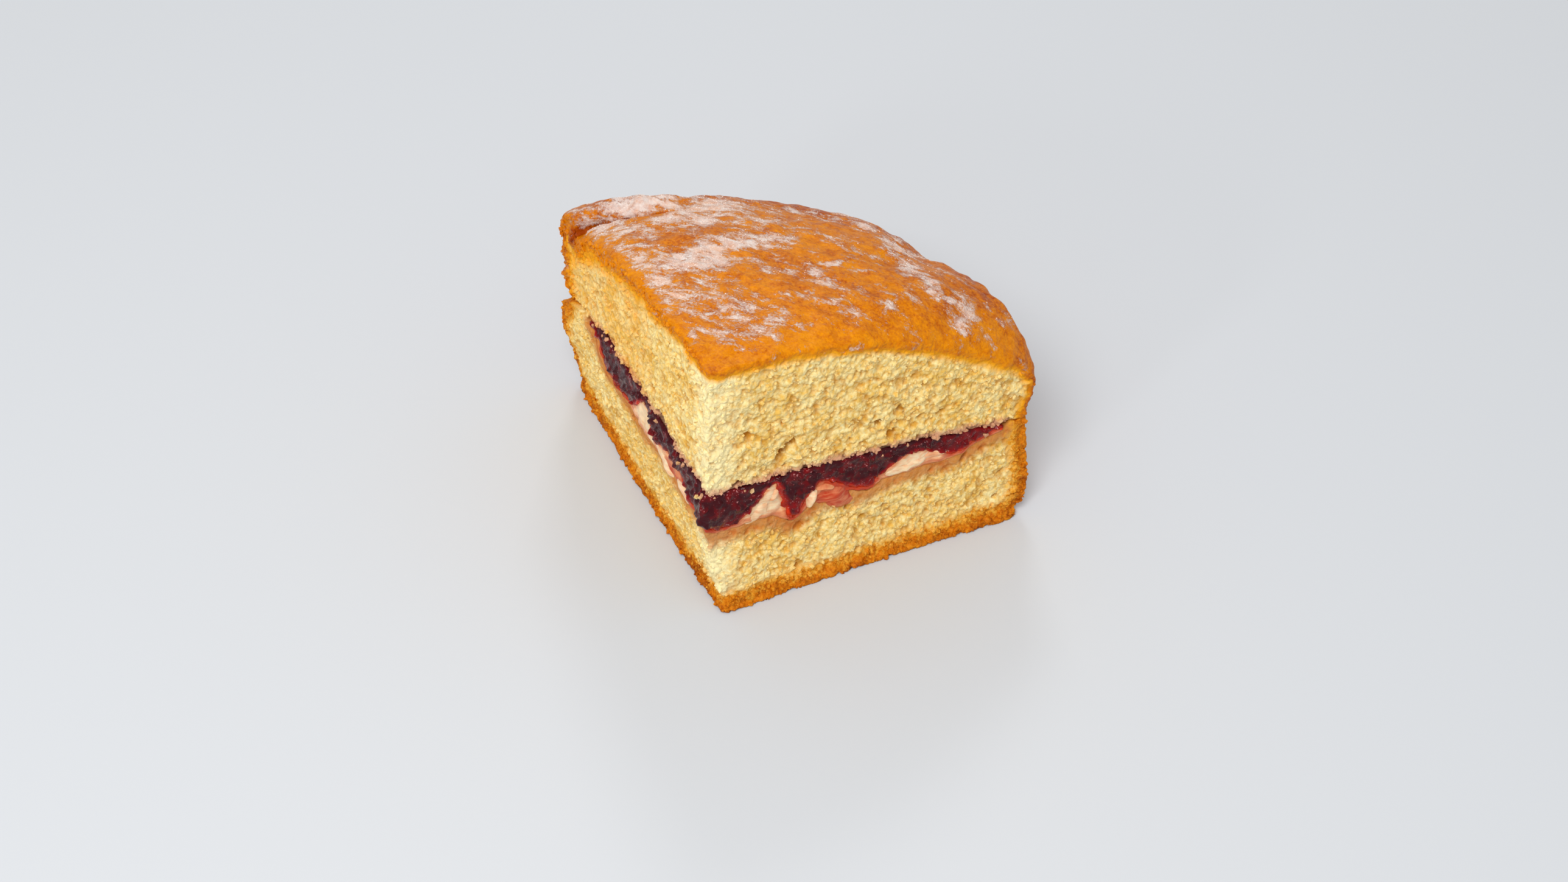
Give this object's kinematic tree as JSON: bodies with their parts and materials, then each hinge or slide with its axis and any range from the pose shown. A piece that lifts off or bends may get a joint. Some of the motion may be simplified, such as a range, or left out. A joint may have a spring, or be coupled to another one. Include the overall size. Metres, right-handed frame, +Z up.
{
  "type": "victoria sponge cake slice",
  "caption": "Quarter slice of a victoria sponge cake: a domed golden top sponge over jam and cream on a flat-based bottom sponge, resting upright.",
  "frame": {"origin": "middle of the base's bounding box, at the height of the surface it rests on", "axes": "+Z up; the tip of the slice points along -Y and the outer crust faces +Y; +X to the right of the tip, across the slice"},
  "size_m": [0.1266, 0.0908, 0.081],
  "materials": {
    "sponge_crumb": "open matt crumb with a browned base and sides",
    "cream": "smooth soft cream",
    "jam": "wet glossy dark red",
    "golden_sponge": "golden brown crust dusted with sugar, pale open crumb at the cuts"
  },
  "bodies": {
    "root": {"bottom_sponge": "sponge_crumb", "cream_filling": "cream", "jam_filling": "jam", "top_sponge": "golden_sponge"}
  },
  "joints": []
}
